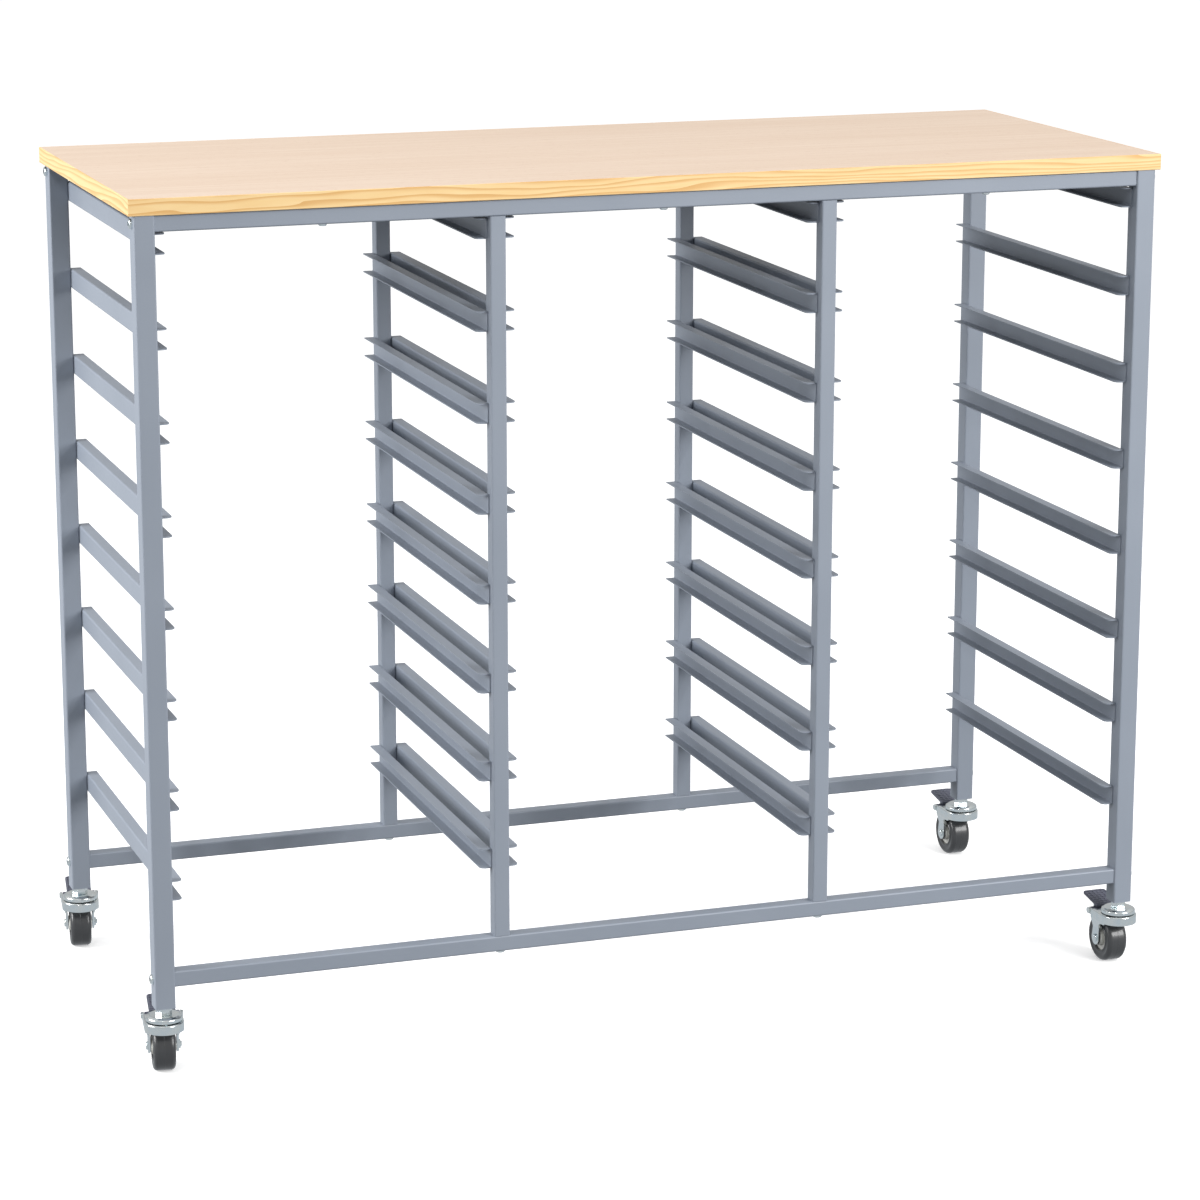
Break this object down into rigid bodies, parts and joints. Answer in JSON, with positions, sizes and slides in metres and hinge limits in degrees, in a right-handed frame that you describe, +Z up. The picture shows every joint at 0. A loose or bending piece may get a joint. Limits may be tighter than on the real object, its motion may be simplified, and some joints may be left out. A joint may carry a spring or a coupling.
{
  "type": "tray storage trolley",
  "caption": "Mobile tubular-steel trolley with bays of tray runners under a wood-look worktop, on braked swivel casters.",
  "frame": {"origin": "on the floor, straight below the middle of the frame", "axes": "+X along the trolley, +Y towards the back, +Z up"},
  "size_m": [1.0697, 0.4812, 0.863],
  "materials": {
    "powder_coat": "grey-blue powder coat, satin, fine orange peel",
    "beech_laminate": "pale beech-pattern melamine, matt",
    "pine_edge": "yellow pine-pattern edge band, matt",
    "chipboard": "raw chipboard",
    "backing_paper": "plain balancing melamine",
    "zinc_plate": "bright zinc plate",
    "bearing_steel": "polished balls",
    "grey_tyre": "dark grey moulded polyurethane, satin",
    "white_nylon": "moulded nylon",
    "grey_plastic": "moulded plastic, matt",
    "black_nylon": "moulded nylon"
  },
  "bodies": {
    "frame": {"leg_front_left": "powder_coat", "leg_front_right": "powder_coat", "leg_back_left": "powder_coat", "leg_back_right": "powder_coat", "post_front_1": "powder_coat", "post_front_2": "powder_coat", "top_rail_front": "powder_coat", "bottom_rail_front": "powder_coat", "post_back_1": "powder_coat", "post_back_2": "powder_coat", "top_rail_back": "powder_coat", "bottom_rail_back": "powder_coat", "runners_bay_1_left": "powder_coat", "runners_bay_1_right": "powder_coat", "runners_bay_2_left": "powder_coat", "runners_bay_2_right": "powder_coat", "runners_bay_3_left": "powder_coat", "runners_bay_3_right": "powder_coat", "worktop_core": "chipboard", "worktop_backing": "backing_paper", "worktop_laminate": "beech_laminate", "worktop_long_edges": "pine_edge", "worktop_short_edges": "pine_edge", "rail_bolts": "zinc_plate", "post_bolts": "zinc_plate", "worktop_screws": "zinc_plate", "tube_inserts": "black_nylon", "leg_inserts": "black_nylon", "caster_stems": "zinc_plate", "stem_nuts": "zinc_plate", "swivel_caps": "zinc_plate", "swivel_balls": "bearing_steel"},
    "fork_front_left": {"fork_front_left": "zinc_plate", "axle_front_left": "zinc_plate", "pedal_pin_front_left": "zinc_plate"},
    "wheel_front_left": {"tyre_front_left": "grey_tyre", "hub_front_left": "white_nylon"},
    "pedal_front_left": {"pedal_front_left": "grey_plastic", "brake_shoe_front_left": "zinc_plate"},
    "fork_front_right": {"fork_front_right": "zinc_plate", "axle_front_right": "zinc_plate", "pedal_pin_front_right": "zinc_plate"},
    "wheel_front_right": {"tyre_front_right": "grey_tyre", "hub_front_right": "white_nylon"},
    "pedal_front_right": {"pedal_front_right": "grey_plastic", "brake_shoe_front_right": "zinc_plate"},
    "fork_back_left": {"fork_back_left": "zinc_plate", "axle_back_left": "zinc_plate", "pedal_pin_back_left": "zinc_plate"},
    "wheel_back_left": {"tyre_back_left": "grey_tyre", "hub_back_left": "white_nylon"},
    "pedal_back_left": {"pedal_back_left": "grey_plastic", "brake_shoe_back_left": "zinc_plate"},
    "fork_back_right": {"fork_back_right": "zinc_plate", "axle_back_right": "zinc_plate", "pedal_pin_back_right": "zinc_plate"},
    "wheel_back_right": {"tyre_back_right": "grey_tyre", "hub_back_right": "white_nylon"},
    "pedal_back_right": {"pedal_back_right": "grey_plastic", "brake_shoe_back_right": "zinc_plate"}
  },
  "joints": [
    {"name": "swivel_front_left", "type": "hinge", "parent": "frame", "child": "fork_front_left", "pos_m": [-0.515, -0.202, 0.058], "axis": [0, 0, 1], "continuous": true},
    {"name": "wheel_spin_front_left", "type": "hinge", "parent": "fork_front_left", "child": "wheel_front_left", "pos_m": [-0.51208, -0.1812, 0.025], "axis": [0.9903, -0.1392, 0], "continuous": true},
    {"name": "brake_pedal_front_left", "type": "hinge", "parent": "fork_front_left", "child": "pedal_front_left", "pos_m": [-0.51103, -0.17378, 0.054], "axis": [-0.9903, 0.1392, 0], "range_deg": [0, 12]},
    {"name": "swivel_front_right", "type": "hinge", "parent": "frame", "child": "fork_front_right", "pos_m": [0.515, -0.202, 0.058], "axis": [0, 0, 1], "continuous": true},
    {"name": "wheel_spin_front_right", "type": "hinge", "parent": "fork_front_right", "child": "wheel_front_right", "pos_m": [0.51445, -0.18101, 0.025], "axis": [0.9997, 0.0262, 0], "continuous": true},
    {"name": "brake_pedal_front_right", "type": "hinge", "parent": "fork_front_right", "child": "pedal_front_right", "pos_m": [0.51425, -0.17351, 0.054], "axis": [-0.9997, -0.0262, 0], "range_deg": [0, 12]},
    {"name": "swivel_back_left", "type": "hinge", "parent": "frame", "child": "fork_back_left", "pos_m": [-0.515, 0.202, 0.058], "axis": [0, 0, 1], "continuous": true},
    {"name": "wheel_spin_back_left", "type": "hinge", "parent": "fork_back_left", "child": "wheel_back_left", "pos_m": [-0.51208, 0.2228, 0.025], "axis": [0.9903, -0.1392, 0], "continuous": true},
    {"name": "brake_pedal_back_left", "type": "hinge", "parent": "fork_back_left", "child": "pedal_back_left", "pos_m": [-0.51103, 0.23022, 0.054], "axis": [-0.9903, 0.1392, 0], "range_deg": [0, 12]},
    {"name": "swivel_back_right", "type": "hinge", "parent": "frame", "child": "fork_back_right", "pos_m": [0.515, 0.202, 0.058], "axis": [0, 0, 1], "continuous": true},
    {"name": "wheel_spin_back_right", "type": "hinge", "parent": "fork_back_right", "child": "wheel_back_right", "pos_m": [0.51445, 0.22299, 0.025], "axis": [0.9997, 0.0262, 0], "continuous": true},
    {"name": "brake_pedal_back_right", "type": "hinge", "parent": "fork_back_right", "child": "pedal_back_right", "pos_m": [0.51425, 0.23049, 0.054], "axis": [-0.9997, -0.0262, 0], "range_deg": [0, 12]}
  ]
}
